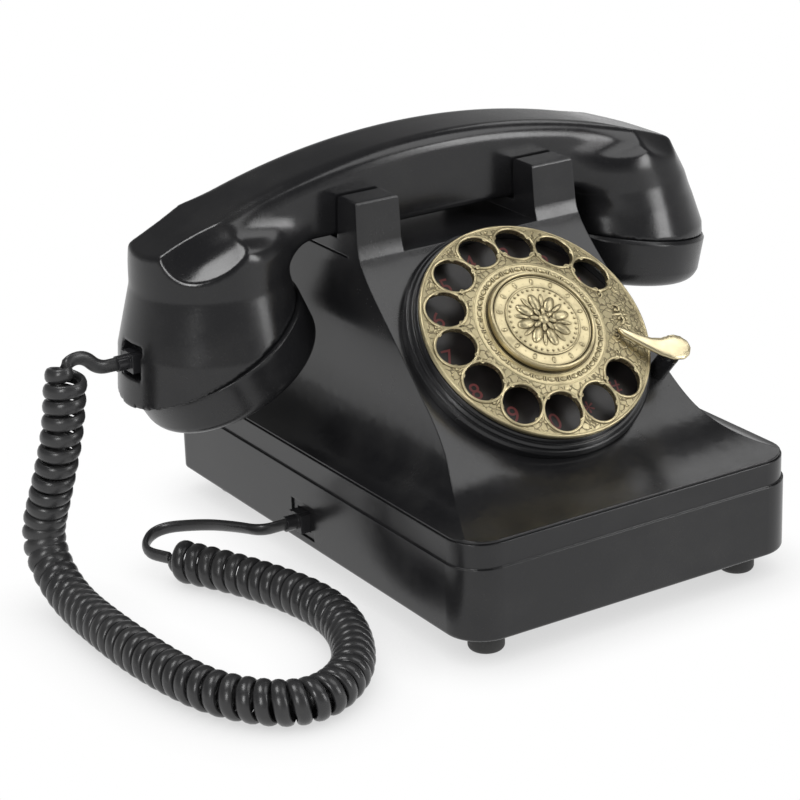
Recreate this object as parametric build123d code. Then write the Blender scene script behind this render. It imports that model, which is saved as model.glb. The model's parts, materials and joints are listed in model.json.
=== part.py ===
"""Desk telephone with a rotary dial, a lift-off handset and a curly cord.

Millimetres.  Origin: on the desk, under the middle of the base.
+X is the phone's right, -Y its front, +Z up.
"""
from build123d import *
import math
import os

# ---------------------------------------------------------------- driving sizes
BASE_W = 130.0              # base tray, across
BASE_D = 186.0              # base tray, front to back
FOOT_H = 8.6
FOOT_R = 5.9
FOOT_X = 50.0
FOOT_Y = 79.5
TRAY_STEP_Z = 33.0          # small step around the tray
TRAY_TOP_Z = 41.0
TRAY_WALL = 3.0
POST_Z = 30.0               # where the tray's screw posts meet the housing's
STEP_IN = 0.7
FRONT_CORNER_R = 13.0
BACK_CORNER_R = 5.0

SHELL_WALL = 3.0            # upper housing
SADDLE_Z = 105.4            # top of the housing between the horns
RAIL_Z = 109.7              # raised rails that the handset lies on
HORN_Z = 124.0
HORN_IN_X = 26.5
HORN_OUT_X = 42.8
HORN_T = 11.5
CRADLE_Y = 28.0             # middle of the handset, front to back
CRADLE_W = 31.0             # between front and rear horns

DIAL_TILT = 41.5            # dial face, from level
DIAL_Y = -31.67             # dial centre on the sloped face
DIAL_Z = 76.04
WHEEL_R = 40.25
HOLE_R = 6.6
HOLE_PCR = 31.8             # pitch circle radius of the finger holes
HOLE_PITCH = 360 / 14
HOLE_START = 26.0
HOLES = 12
RIM_H = 9.3                 # wheel rim above the sloped face
BEZEL_R = 43.3

HS_TOP_Z = 137.2            # handset, crown of the arch
HS_END_X = 118.0            # where the arch's circle is set out
HS_END_Z = 108.6
HS_EDGE_R = 7.0
MOUTH = dict(x=-83.5, z=80.0, r=32.5, tilt=28.0, depth=16.5,
             rings=((-83.4, 100.0, 26.5), (-83.9, 118.0, 23.0), (-83.0, 132.0, 20.0)))
EAR = dict(x=81.5, z=87.5, r=31.0, tilt=-10.0, depth=17.5,
           rings=((81.0, 98.0, 27.5), (79.8, 106.0, 25.6), (76.2, 116.0, 24.0),
                  (70.0, 132.0, 23.0)))
HANDLE_W = 29.6
NECK_R = 30.0               # where the necks meet the parting lines
CAPSULE_R = 23.5
HS_WALL = 3.0
HS_UNDER_Z = 110.3

JACK_Y = 6.2                # cord socket in the base's left wall
JACK_Z = 17.5
HS_JACK_Y = 27.5            # cord socket in the handset's mouth end
HS_JACK_Z = 78.5
PLUG_W = 7.6

COIL_R = 7.2                # outer radius of the coiled cord
LEAD_R = 1.7

os.makedirs("parts", exist_ok=True)
NODES = {}


def keep(name, shape):
    """Store one sub-part under its node name."""
    NODES[name] = shape
    return shape


def box(x0, x1, y0, y1, z0, z1):
    """Box between two corners."""
    size = Box(x1 - x0, y1 - y0, z1 - z0)
    return Pos((x0 + x1) / 2, (y0 + y1) / 2, (z0 + z1) / 2) * size


def cyl(radius, z0, z1, x=0.0, y=0.0):
    """Upright cylinder from z0 to z1."""
    return Pos(x, y, (z0 + z1) / 2) * Cylinder(radius, z1 - z0)


def mirror_x(shape):
    return mirror(shape, about=Plane.YZ)


# ---------------------------------------------------------------- base tray
def plan_face(inset=0.0):
    """Plan outline of the base: large front corners, small back ones."""
    w = BASE_W / 2 - inset
    d = BASE_D / 2 - inset
    face = make_face(Polyline((-w, -d), (w, -d), (w, d), (-w, d), close=True))
    front = [v for v in face.vertices() if v.Y < 0]
    face = fillet(front, FRONT_CORNER_R - inset)
    back = [v for v in face.vertices() if v.Y > d - 0.01]
    return fillet(back, max(BACK_CORNER_R - inset, 1.0))


def plan_prism(inset, z0, z1):
    return Pos(0, 0, z0) * extrude(plan_face(inset), z1 - z0)


def base_tray():
    tray = plan_prism(0, FOOT_H, TRAY_STEP_Z) + plan_prism(STEP_IN, TRAY_STEP_Z, TRAY_TOP_Z)
    low_edges = tray.edges().filter_by_position(Axis.Z, FOOT_H - 0.1, FOOT_H + 0.1)
    tray = fillet(low_edges, 1.2)
    tray -= plan_prism(TRAY_WALL + STEP_IN, FOOT_H + TRAY_WALL, TRAY_TOP_Z + 1)
    for sx in (-1, 1):
        for sy in (-1, 1):
            x, y = sx * FOOT_X, sy * FOOT_Y
            tray += cyl(5.0, FOOT_H, POST_Z, x, y)
            tray -= cyl(1.8, FOOT_H - 1, TRAY_TOP_Z, x, y)
            tray -= cyl(3.4, FOOT_H - 1, FOOT_H + 12, x, y)
    wall = BASE_W / 2
    tray -= box(-wall - 1, -wall + 5, JACK_Y - 7.1, JACK_Y + 7.1, JACK_Z - 5.9, JACK_Z + 5.9)
    back = BASE_D / 2
    tray -= box(LINE_X - 6.5, LINE_X + 6.5, back - 5, back + 1, LINE_Z - 5.5, LINE_Z + 5.5)
    tray -= box(RING_X - 6, RING_X + 6, back - 5, back + 1, RING_Z - 2, RING_Z + 2)
    for i in range(7):
        x = -15 + 5 * i
        tray -= box(x - 1, x + 1, 26, 54, FOOT_H - 1, FOOT_H + TRAY_WALL + 1)
    return tray


LINE_X = 28.0
LINE_Z = 22.0
RING_X = -28.0
RING_Z = 24.0


def feet():
    for sx, side in ((-1, "left"), (1, "right")):
        for sy, end in ((-1, "front"), (1, "rear")):
            foot = cyl(FOOT_R, 0, FOOT_H, sx * FOOT_X, sy * FOOT_Y)
            foot = fillet(foot.edges().sort_by(Axis.Z)[0], 1.6)
            foot += cyl(3.3, FOOT_H, FOOT_H + 3.5, sx * FOOT_X, sy * FOOT_Y)
            foot -= cyl(1.8, 1.6, FOOT_H + 5, sx * FOOT_X, sy * FOOT_Y)
            foot -= cyl(3.0, -1, 5.0, sx * FOOT_X, sy * FOOT_Y)
            keep("foot_%s_%s" % (end, side), foot)


def case_screws():
    """Four screws that go up through the feet into the housing."""
    group = []
    for sx in (-1, 1):
        for sy in (-1, 1):
            x, y = sx * FOOT_X, sy * FOOT_Y
            screw = cyl(2.8, 3.0, 5.0, x, y) + cyl(1.5, 5.0, TRAY_TOP_Z - 2.0, x, y)
            screw -= box(x - 2.4, x + 2.4, y - 0.35, y + 0.35, 2.9, 3.9)
            group.append(screw)
    return Compound(children=group)


# ---------------------------------------------------------------- housing
def side_face(drop=0.0, inset=0.0):
    """Front view of the housing: upright sides that sweep out into a skirt."""
    d = inset
    low = TRAY_TOP_Z - drop
    x_low = BASE_W / 2 - 1.2 - d
    lip = TRAY_TOP_Z + 0.9 - d
    half = make_face([
        Line((0, low), (x_low, low)),
        Line((x_low, low), (x_low, lip)),
        Bezier((x_low, lip), (50.5 - 0.3 * d, 43.5 - d), (45.6 - 0.95 * d, 54.0 - 0.4 * d),
               (45.3 - d, 68.0)),
        Line((45.3 - d, 68.0), (HORN_OUT_X - d, HORN_Z)),
        Line((HORN_OUT_X - d, HORN_Z), (0, HORN_Z)),
        Line((0, HORN_Z), (0, low)),
    ])
    return half + mirror(half, about=Plane.YZ)


def length_face(top_z, drop=0.0, inset=0.0):
    """Side view of the housing up to top_z: concave front sweep, sloped back."""
    d = inset
    low = TRAY_TOP_Z - drop
    lip = TRAY_TOP_Z + 0.9 - d
    y_front = -BASE_D / 2 + 1.2 + d
    y_back = BASE_D / 2 - 1.2 - d
    t = math.radians(DIAL_TILT)
    top_y = -19.0 + d * math.sin(t)
    low_y = -57.0 + d * math.sin(t)
    face_top = (top_y, DIAL_Z + (top_y - DIAL_Y) * math.tan(t) - d / math.cos(t))
    face_low = (low_y, DIAL_Z + (low_y - DIAL_Y) * math.tan(t) - d / math.cos(t))
    back_top = CRADLE_Y + CRADLE_W / 2 + HORN_T - d
    face = make_face([
        Line((y_back, low), (y_front, low)),
        Line((y_front, low), (y_front, lip)),
        Bezier((y_front, lip), (-77.0 + 0.2 * d, 42.6 - d), (-65.5 + 0.6 * d, 46.0 - 0.9 * d),
               face_low),
        Line(face_low, face_top),
        Bezier(face_top, (-9.6 + 0.7 * d, 95.4 - 0.5 * d), (-0.6 + d, 102.5 - 0.2 * d),
               (0.2 + d, 110.0)),
        Line((0.2 + d, 110.0), (1.4 + d, HORN_Z)),
        Line((1.4 + d, HORN_Z), (back_top, HORN_Z)),
        Line((back_top, HORN_Z), (back_top + 2, RAIL_Z - 4)),
        Bezier((back_top + 2, RAIL_Z - 4), (62.0 - d, 75.0 - 0.2 * d),
               (66.0 - 0.6 * d, 45.0 - 0.9 * d), (y_back, lip)),
        Line((y_back, lip), (y_back, low)),
    ])
    trim = Pos(0, (top_z + HORN_Z + 20) / 2) * Rectangle(400, HORN_Z + 20 - top_z)
    return face - trim


def envelope(top_z, inset=0.0, drop=0.0):
    """Solid where the front view, side view and plan of the housing agree."""
    across = extrude(Plane.YZ * length_face(top_z - inset, drop, inset), amount=100, both=True)
    along = extrude(Plane.XZ * side_face(drop, inset), amount=120, both=True)
    low = TRAY_TOP_Z - drop
    return across & along & plan_prism(1.2 + inset, low, HORN_Z + 5)


def dial_plane(h=0.0, u=0.0, x=0.0):
    """Plane of the dial: local x is +X, local y runs up the slope, local z is out."""
    t = math.radians(DIAL_TILT)
    out = Vector(0, -math.sin(t), math.cos(t))
    up = Vector(0, math.cos(t), math.sin(t))
    centre = Vector(0, DIAL_Y, DIAL_Z) + out * h + up * u + Vector(x, 0, 0)
    return Plane(origin=centre, x_dir=(1, 0, 0), z_dir=out)


def disc(radius, h0, h1, x=0.0, u=0.0):
    """Cylinder on the dial's axis, or offset from it, from height h0 to h1."""
    return dial_plane(h0, u, x) * extrude(Circle(radius), h1 - h0)


def horn(front):
    """One cradle horn, blended into the rail."""
    y0 = -2.0 if front else CRADLE_Y + CRADLE_W / 2
    y1 = CRADLE_Y - CRADLE_W / 2 if front else CRADLE_Y + CRADLE_W / 2 + HORN_T + 5
    block = box(HORN_IN_X, HORN_OUT_X + 6, y0, y1, SADDLE_Z - 6, HORN_Z)
    return block


def housing_shell():
    outer = envelope(SADDLE_Z)
    full = envelope(HORN_Z)
    rail = box(HORN_IN_X, HORN_OUT_X + 6, -4, 60, SADDLE_Z - 6, RAIL_Z)
    cradle = (rail + horn(True) + horn(False)) & full
    outer += cradle + mirror_x(cradle)
    tops = outer.edges().filter_by_position(Axis.Z, HORN_Z - 0.05, HORN_Z + 0.05)
    outer = fillet(tops, 0.9)
    inner = envelope(SADDLE_Z, SHELL_WALL, 12.0)
    shell = outer - inner
    for sx in (-1, 1):
        for sy in (-1, 1):
            x, y = sx * FOOT_X, sy * FOOT_Y
            if y > 0:
                shell += cyl(4.0, TRAY_TOP_Z, TRAY_TOP_Z + 12, x, y) & outer
            shell += cyl(4.0, POST_Z, TRAY_TOP_Z + 0.2, x, y)
            shell -= cyl(1.55, POST_Z - 1, TRAY_TOP_Z - 1.5, x, y)
    shell -= disc(36.2, -14, 3)
    shell -= disc(BEZEL_R, 0, 20)
    for sx in (-1, 1):
        shell -= cyl(PLUNGER_R + 0.35, SADDLE_Z - 12, HORN_Z + 5, sx * PLUNGER_X, CRADLE_Y)
        low, high = sorted((sx * 42.6, sx * 47.0))
        shell -= box(low, high, 6, 70, SADDLE_Z - 1.0, SADDLE_Z - 0.3)
    return shell


# ---------------------------------------------------------------- hook switch
PLUNGER_X = 34.8
PLUNGER_R = 3.6
PLUNGER_TOP = HS_UNDER_Z - 0.35
HOOK_BAR_Z = 92.0
HOOK_TRAVEL = 4.0


def hook_parts():
    """Two plungers on one bar, which the handset holds down."""
    for sx, side in ((-1, "left"), (1, "right")):
        x = sx * PLUNGER_X
        plunger = cyl(PLUNGER_R, HOOK_BAR_Z + 3, PLUNGER_TOP, x, CRADLE_Y)
        plunger = fillet(plunger.edges().sort_by(Axis.Z)[-1], 1.5)
        keep("hook_plunger_" + side, plunger)
        spring = spring_coil(3.3, 0.45, HOOK_BAR_Z - 22.0, HOOK_BAR_Z, 5)
        keep("hook_spring_" + side, Pos(sx * 22.0, CRADLE_Y, 0) * spring)
    bar = box(-38.5, 38.5, CRADLE_Y - 4, CRADLE_Y + 4, HOOK_BAR_Z, HOOK_BAR_Z + 3)
    keep("hook_bar", bar)
    bracket = box(-30, 30, CRADLE_Y + 8, CRADLE_Y + 10, HOOK_BAR_Z - 26, SADDLE_Z - SHELL_WALL)
    bracket += box(-30, 30, CRADLE_Y - 6, CRADLE_Y + 10, HOOK_BAR_Z - 24, HOOK_BAR_Z - 22)
    keep("hook_bracket", bracket)
    switch = box(-6, 6, CRADLE_Y - 3, CRADLE_Y + 3, HOOK_BAR_Z - 22, HOOK_BAR_Z - 12)
    switch += box(-1.2, 1.2, CRADLE_Y - 1.5, CRADLE_Y + 1.5, HOOK_BAR_Z - 12, HOOK_BAR_Z - 10)
    keep("hook_switch", switch)


def spring_coil(radius, wire, z0, z1, turns):
    """Compression spring as a stack of closed rings, one for each turn."""
    rings = []
    gap = (z1 - z0 - 2 * wire) / (turns - 1)
    for i in range(turns):
        rings.append(Pos(0, 0, z0 + wire + gap * i) * Torus(radius, wire))
    return Compound(children=rings)


# ---------------------------------------------------------------- dial
def ring_profile(points):
    """Solid of revolution about the dial's axis from (radius, height) points."""
    face = make_face(Polyline(*points, close=True))
    solid = revolve(Plane.XZ * face, Axis.Z, 360)
    return dial_plane() * solid


def dial_fixed():
    bezel = ring_profile([
        (36.4, 0), (BEZEL_R - 0.05, 0), (BEZEL_R - 0.05, 2.6), (BEZEL_R - 0.8, 3.6),
        (42.0, 3.6), (42.0, 4.6), (41.3, 5.4), (40.5, 5.4), (40.5, 6.2),
        (40.0, 6.9), (39.0, 6.9), (38.6, 6.2), (38.6, 3.0), (36.4, 3.0)])
    bezel -= disc(4.0, -1, 10, BRACKET_X, BRACKET_U)
    keep("dial_bezel", bezel)
    plate = disc(38.5, 3.0, 4.0) - disc(5.0, 2, 5)
    keep("number_plate", plate)
    frame = disc(36.1, 0.0, 3.0) - disc(5.0, -1, 5)
    for a in (30, 150, 270):
        px = 32 * math.cos(math.radians(a))
        pu = 32 * math.sin(math.radians(a))
        frame += disc(3.0, -26, 0, px, pu)
    frame += disc(34.9, -28, -26) - disc(4.0, -30, -20)
    frame -= disc(GOV_R + 0.05, -30, -20, GOV_X, GOV_U)
    keep("dial_frame", frame)
    bush = disc(5.0, -3.0, 5.0) + disc(6.5, -5.0, -3.0)
    bush += disc(6.2, -3.0, 0.0)
    bush -= disc(SHAFT_R + 0.05, -10, 10)
    keep("shaft_bush", bush)
    rear_bush = disc(4.0, -28.0, -25.0) - disc(SHAFT_R + 0.05, -30, -20)
    keep("rear_bush", rear_bush)


SHAFT_R = 3.0
BRACKET_X = 41.0
BRACKET_U = -19.0



GOV_R = 1.5                 # governor shaft
GOV_DIST = 24.0             # from the dial's axis
GOV_X = GOV_DIST * math.cos(math.radians(210))
GOV_U = GOV_DIST * math.sin(math.radians(210))
MODULE = 0.8
MAIN_TEETH = 50
PINION_TEETH = 10


def gear(teeth, turn, h0, h1, x=0.0, u=0.0):
    """Spur gear with slim straight-sided teeth; one tooth points at turn degrees."""
    pitch_r = MODULE * teeth / 2
    root = pitch_r - 0.8
    tip = pitch_r + 0.55
    face = Circle(root)
    for i in range(teeth):
        tooth = make_face(Polyline(
            (root - 0.3, -0.58), (pitch_r, -0.4), (tip, -0.2),
            (tip, 0.2), (pitch_r, 0.4), (root - 0.3, 0.58), close=True))
        face += Rot(0, 0, turn + 360 / teeth * i) * tooth
    return dial_plane(h0, u, x) * extrude(face, h1 - h0)


def dial_moving():
    wheel = ring_profile([
        (SHAFT_R, 5.5), (7.0, 5.5), (7.0, RIM_H + 1.6), (23.0, RIM_H + 1.6),
        (32.0, RIM_H - 0.2), (39.0, RIM_H - 1.8), (WHEEL_R, RIM_H - 1.4),
        (WHEEL_R, RIM_H - 0.3), (WHEEL_R - 0.5, RIM_H), (32.0, RIM_H + 1.6),
        (23.0, RIM_H + 3.4), (SHAFT_R, RIM_H + 3.4)])
    for i in range(HOLES):
        a = math.radians(HOLE_START + HOLE_PITCH * i)
        wheel -= disc(HOLE_R, 0, 20, HOLE_PCR * math.cos(a), HOLE_PCR * math.sin(a))
    keep("finger_wheel", wheel)
    top = RIM_H + 3.4
    medal = ring_profile([
        (0, top + 1.4), (6.0, top + 1.4), (6.0, top), (18.0, top), (18.4, top + 0.5),
        (18.4, top + 2.0), (17.9, top + 2.6), (17.3, top + 2.4), (17.0, top + 1.7),
        (12.9, top + 1.9), (12.4, top + 2.2), (0, top + 2.4)])
    keep("medallion", medal)
    shaft = disc(SHAFT_R, -27.5, RIM_H + 2.6) - disc(1.2, 4, RIM_H + 4)
    keep("dial_shaft", shaft)
    screw = disc(4.6, top, top + 1.0) + disc(1.2, 5.0, top)
    keep("wheel_screw", screw - dial_plane(top + 0.6) * extrude(Rectangle(7, 0.8), 1))
    keep("main_gear", gear(MAIN_TEETH, 30, -14.0, -12.5) - disc(SHAFT_R, -20, 0))
    cam = disc(10.0, -19.0, -17.5) + disc(5.0, -17.5, -14.0)
    for i in range(10):
        a = math.radians(36 * i)
        cam -= disc(1.3, -20, -17, 10.4 * math.cos(a), 10.4 * math.sin(a))
    keep("pulse_cam", cam - disc(SHAFT_R, -20, 0))
    keep("spring_collar", disc(4.6, -11.5, -7.0) - disc(SHAFT_R, -20, 0))


def return_spring():
    """Flat spiral spring made of half rings on two alternating centres."""
    pitch = 1.8
    band = None
    for k in range(9):
        radius = 6.4 + k * pitch / 2
        ring = Circle(radius + 0.2) - Circle(radius - 0.2)
        side = 1 if k % 2 == 0 else -1
        half = ring & (Pos(0, side * 20) * Rectangle(60, 40))
        half = Pos(0 if side > 0 else -pitch / 2, 0) * half
        band = half if band is None else band + half
    return dial_plane(-10.5) * extrude(band, 3.0)


def governor():
    """Small centrifugal brake that steadies the dial's return."""
    shaft = disc(GOV_R, -27.5, -7.5, GOV_X, GOV_U)
    keep("governor_shaft", shaft)
    pinion = gear(PINION_TEETH, 30 + 180 + 18, -14.5, -12.0, GOV_X, GOV_U)
    keep("governor_pinion", pinion - disc(GOV_R, -20, 0, GOV_X, GOV_U))
    weights = disc(2.6, -22.5, -17.5, GOV_X, GOV_U)
    weights += disc(7.2, -22.0, -18.0, GOV_X, GOV_U)
    weights -= dial_plane(-23, GOV_U + 6, GOV_X) * extrude(Rectangle(30, 5), 6)
    weights -= dial_plane(-23, GOV_U - 6, GOV_X) * extrude(Rectangle(30, 5), 6)
    keep("governor_weights", weights - disc(GOV_R, -30, 0, GOV_X, GOV_U))
    cup = disc(9.0, -26.0, -17.0, GOV_X, GOV_U) - disc(8.2, -25.0, -16, GOV_X, GOV_U)
    keep("governor_cup", cup - disc(2.3, -30, 0, GOV_X, GOV_U))
    arm = dial_plane(-10.5) * extrude(Rot(0, 0, 210) * Pos(26.5, 0) * Rectangle(11, 8), 1.5)
    leg = dial_plane(-9.0) * extrude(Rot(0, 0, 210) * Pos(30.5, 0) * Rectangle(3, 8), 9.0)
    keep("governor_bracket", arm + leg - disc(GOV_R + 0.05, -30, 0, GOV_X, GOV_U))


def pulse_contacts():
    block = dial_plane(-26.0) * extrude(Pos(20, 0) * Rectangle(8, 14), 10.0)
    for u in (-3.0, 0.0, 3.0):
        leaf = dial_plane(-19.5) * extrude(Pos(14.2, u) * Rectangle(5, 0.5), 2.5)
        block += leaf
    return block


STOP_A = -27.1              # bearing of the finger stop around the dial
STOP_H = 12.9


def stop_point(radius, side=0.0):
    """Point at a radius along the finger stop's bearing, and to one side of it."""
    a = math.radians(STOP_A)
    x = radius * math.cos(a) - side * math.sin(a)
    u = radius * math.sin(a) + side * math.cos(a)
    return x, u


def stop_block(r0, r1, s0, s1, h0, h1):
    """Block set out along the finger stop's bearing."""
    face = Pos((r0 + r1) / 2, (s0 + s1) / 2) * Rectangle(r1 - r0, s1 - s0)
    return dial_plane(h0) * extrude(Rot(0, 0, STOP_A) * face, h1 - h0)


def finger_stop():
    """Finger stop: a tapering blade with a rounded pad, on a pinned bracket."""
    outline = Polyline((27.2, -1.0), (41.0, -4.6), (46.0, -4.6), (49.0, -2.0),
                       (49.0, 2.0), (46.0, 4.6), (41.0, 4.6), (27.2, 1.0), close=True)
    face = make_face(outline)
    face = fillet(face.vertices(), 0.9)
    blade = dial_plane(STOP_H) * extrude(Rot(0, 0, STOP_A) * face, 1.7)
    blade += stop_block(44.2, 46.8, -1.5, 1.5, 10.6, STOP_H)
    pin_plane = Plane(origin=dial_plane(11.7, *reversed(stop_point(45.5))).origin,
                      x_dir=dial_plane().z_dir, z_dir=stop_axis())
    blade -= pin_plane * extrude(Circle(0.65), 6, both=True)
    keep("finger_stop", blade)
    x, u = stop_point(46.7)
    bracket = disc(3.3, 0, 10.0, x, u) + stop_block(43.9, 47.3, -3.3, 3.3, 8.0, 12.4)
    bracket -= stop_block(43.0, 48.0, -1.9, 1.9, 10.0, 13)
    bracket -= pin_plane * extrude(Circle(0.6), 6, both=True)
    keep("stop_bracket", bracket)
    keep("stop_pin", pin_plane * extrude(Circle(0.6), 3.3, both=True))


def stop_axis():
    a = math.radians(STOP_A)
    up = dial_plane().y_dir
    return Vector(-math.sin(a), 0, 0) + up * math.cos(a)


# ---------------------------------------------------------------- handset
def cap_plane(end, h=0.0):
    """Plane of a cap's parting line; local z points out through the cap."""
    t = math.radians(end["tilt"])
    out = Vector(math.sin(t), 0, -math.cos(t))
    origin = Vector(end["x"], CRADLE_Y, end["z"]) + out * h
    return Plane(origin=origin, x_dir=(0, 1, 0), z_dir=out)


def cap_edge(end, side):
    """Where the parting line meets the middle plane, as (x, z)."""
    t = math.radians(end["tilt"])
    r = NECK_R * side
    return (end["x"] + r * math.cos(t), end["z"] + r * math.sin(t))


def handset_side(lower=0.0):
    """Front view of the handle: arched top, level underside and two necks."""
    mr = cap_edge(MOUTH, 1)
    el = cap_edge(EAR, -1)
    x = HS_END_X
    z = HS_END_Z - lower
    return make_face([
        ThreePointArc((-x, z), (0, HS_TOP_Z - lower), (x, z)),
        Polyline((x, z), (x, 60.0), (el[0], 60.0), el),
        Bezier(el, (el[0] - 0.4, 101.0), (51.0, HS_UNDER_Z), (44.0, HS_UNDER_Z)),
        Line((44.0, HS_UNDER_Z), (-45.0, HS_UNDER_Z)),
        Bezier((-45.0, HS_UNDER_Z), (-53.0, HS_UNDER_Z), (mr[0] + 0.6, 104.0), mr),
        Polyline(mr, (mr[0], 60.0), (-x, 60.0), (-x, z)),
    ])


def handset_hollow():
    """Channel along the handle, opening into the two round ends."""
    w = HS_WALL + 0.3
    return make_face([
        ThreePointArc((-95.0, 118.9 - w), (0, HS_TOP_Z - w), (92.0, 119.9 - w)),
        Polyline((92.0, 119.9 - w), (98.0, 102.0), (97.0, 88.0), (60.0, 94.0), (58.0, 109.0),
                 (44.0, HS_UNDER_Z + w), (-50.0, HS_UNDER_Z + w), (-61.0, 106.0),
                 (-76.0, 90.0), (-96.0, 80.0), (-101.0, 100.0), (-95.0, 118.9 - w)),
    ])


def drum(end):
    """Round end of the handset: lofted up from the slanted parting circle."""
    sections = [cap_plane(end) * Circle(end["r"])]
    for x, z, r in end["rings"]:
        plane = Plane(origin=(x, CRADLE_Y, z), x_dir=(0, 1, 0), z_dir=(0, 0, -1))
        sections.append(plane * Circle(r))
    return loft(sections)


def scooped_roof():
    """Space under the scooped shoulders of the round ends."""
    face = make_face([
        Polyline((-14, 122), (14, 122)),
        Bezier((14, 122), (17, 109), (24, 105), (33, 103)),
        Polyline((33, 103), (33, 40), (-33, 40), (-33, 103)),
        Bezier((-33, 103), (-24, 105), (-17, 109), (-14, 122)),
    ])
    return Pos(0, CRADLE_Y, 0) * extrude(Plane.YZ * face, amount=130, both=True)


def slab(face, half_width):
    """Front-view face pulled out each way from the middle of the handset."""
    solid = extrude(Plane.XZ * face, amount=half_width, both=True)
    return Pos(0, CRADLE_Y, 0) * solid


def handset_body():
    handle = slab(handset_side(), HANDLE_W / 2)
    handle = fillet(handle.edges().sort_by(SortBy.LENGTH)[-2:], HS_EDGE_R)
    low = slab(handset_side(9.0), 34.0) & scooped_roof()
    neck = box(-75, 75, 0, 60, 100, 150)
    neck += box(cap_edge(MOUTH, 1)[0], cap_edge(EAR, -1)[0], 0, 60, 80, 100)
    body = handle & neck
    for end in (MOUTH, EAR):
        outer = drum(end)
        body += handle & outer
        body += low & outer
    body -= slab(handset_hollow(), HANDLE_W / 2 - HS_WALL - 1.2)
    for end in (MOUTH, EAR):
        body -= cap_plane(end, -7.0) * extrude(Circle(25.0), 8.0)
    y, z = HS_JACK_Y, HS_JACK_Z
    body -= box(-130, -102.9, y - 6.1, y + 6.1, z - 5.5, z + 5.5)
    keep("handset_body", body)


def cap(end, lip):
    """Screw-on cap: shallow cup with a ring of sound holes."""
    depth = end["depth"]
    r = end["r"] - 0.2
    edges = [
        Line((0, 0.3), (r - 4.0, 0.3)),
        Line((r - 4.0, 0.3), (r - 4.0, 0.0)),
        Line((r - 4.0, 0.0), (r, 0.0)),
        Line((r, 0.0), (r + lip, 1.2)),
        Line((r + lip, 1.2), (r + lip - 0.6, depth * 0.7)),
        Bezier((r + lip - 0.6, depth * 0.7), (r - 0.9, depth * 0.93), (r - 4.0, depth),
               (r - 9.0, depth)),
        Line((r - 9.0, depth), (r - 11.0, depth - 1.2)),
        Line((r - 11.0, depth - 1.2), (0, depth - 2.4)),
        Line((0, depth - 2.4), (0, 0.3)),
    ]
    solid = revolve(Plane.XZ * make_face(edges), Axis.Z, 360)
    core = Cylinder(CAPSULE_R, depth - 5.4, align=(Align.CENTER, Align.CENTER, Align.MIN))
    solid -= Pos(0, 0, -0.01) * core
    places = [(0, 0)]
    for ring, count in ((6.0, 6), (12.0, 12)):
        for i in range(count):
            a = 2 * math.pi * i / count
            places.append((ring * math.cos(a), ring * math.sin(a)))
    for x, y in places:
        solid -= Pos(x, y, depth - 4) * Cylinder(1.2, 14)
    return cap_plane(end) * solid


def capsule(end, radius, height):
    body = Cylinder(radius, height, align=(Align.CENTER, Align.CENTER, Align.MIN))
    body -= Pos(0, 0, height) * Cylinder(radius - 2.5, 1.6)
    return cap_plane(end, end["depth"] - 5.6 - height) * body


def socket_box(x0, x1, y, z, half_y, half_z, open_side):
    """Modular socket: block with a square way in on one side."""
    block = box(x0, x1, y - half_y, y + half_y, z - half_z, z + half_z)
    if open_side < 0:
        return block - box(x0 - 1, x1 - 2.0, y - 4.0, y + 4.0, z - 3.6, z + 3.6)
    return block - box(x0 + 2.0, x1 + 1, y - 4.0, y + 4.0, z - 3.6, z + 3.6)


def plug_body(x_in, x_out, y, z):
    """Clear plug with its latch and a round strain relief."""
    x_mid = x_out + 4.0 if x_out < x_in else x_out - 4.0
    low, high = sorted((x_in, x_mid))
    plug = box(low, high, y - PLUG_W / 2, y + PLUG_W / 2, z - 3.3, z + 3.0)
    plug += box(low, high - 2.0, y - 1.6, y + 1.6, z - 3.3, z + 3.4)
    low, high = sorted((x_mid, x_out))
    boot = Pos((low + high) / 2, y, z) * Rot(0, 90, 0) * Cylinder(2.6, high - low)
    return plug + boot


# ---------------------------------------------------------------- cord
def route(points, label):
    """Straight runs joined by tangent arcs, as large as the runs allow."""
    pts = [Vector(*p) for p in points]
    edges = []
    radii = []
    start = pts[0]
    for i in range(1, len(pts) - 1):
        into = (pts[i] - pts[i - 1]).normalized()
        away = (pts[i + 1] - pts[i]).normalized()
        half = math.acos(max(-1.0, min(1.0, into.dot(away)))) / 2
        reach = 0.45 * min((pts[i] - pts[i - 1]).length, (pts[i + 1] - pts[i]).length)
        radii.append(reach / math.tan(half))
        a = pts[i] - into * reach
        b = pts[i] + away * reach
        bisector = (away - into).normalized()
        centre = pts[i] + bisector * (radii[-1] / math.cos(half))
        middle = centre - bisector * radii[-1]
        edges.append(Line(start, a))
        edges.append(ThreePointArc(a, middle, b))
        start = b
    edges.append(Line(start, pts[-1]))
    print(label, "bend radii", [round(r, 1) for r in radii])
    return Wire([e.edge() for e in edges])


def tube(points, radius, label):
    path = route(points, label)
    profile = Plane(origin=path @ 0, z_dir=path % 0) * Circle(radius)
    solid = sweep(profile, path=path)
    print(label, "length", round(path.length, 1),
          "volume / section x length", round(solid.volume / (math.pi * radius ** 2 * path.length), 3))
    return solid


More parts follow.
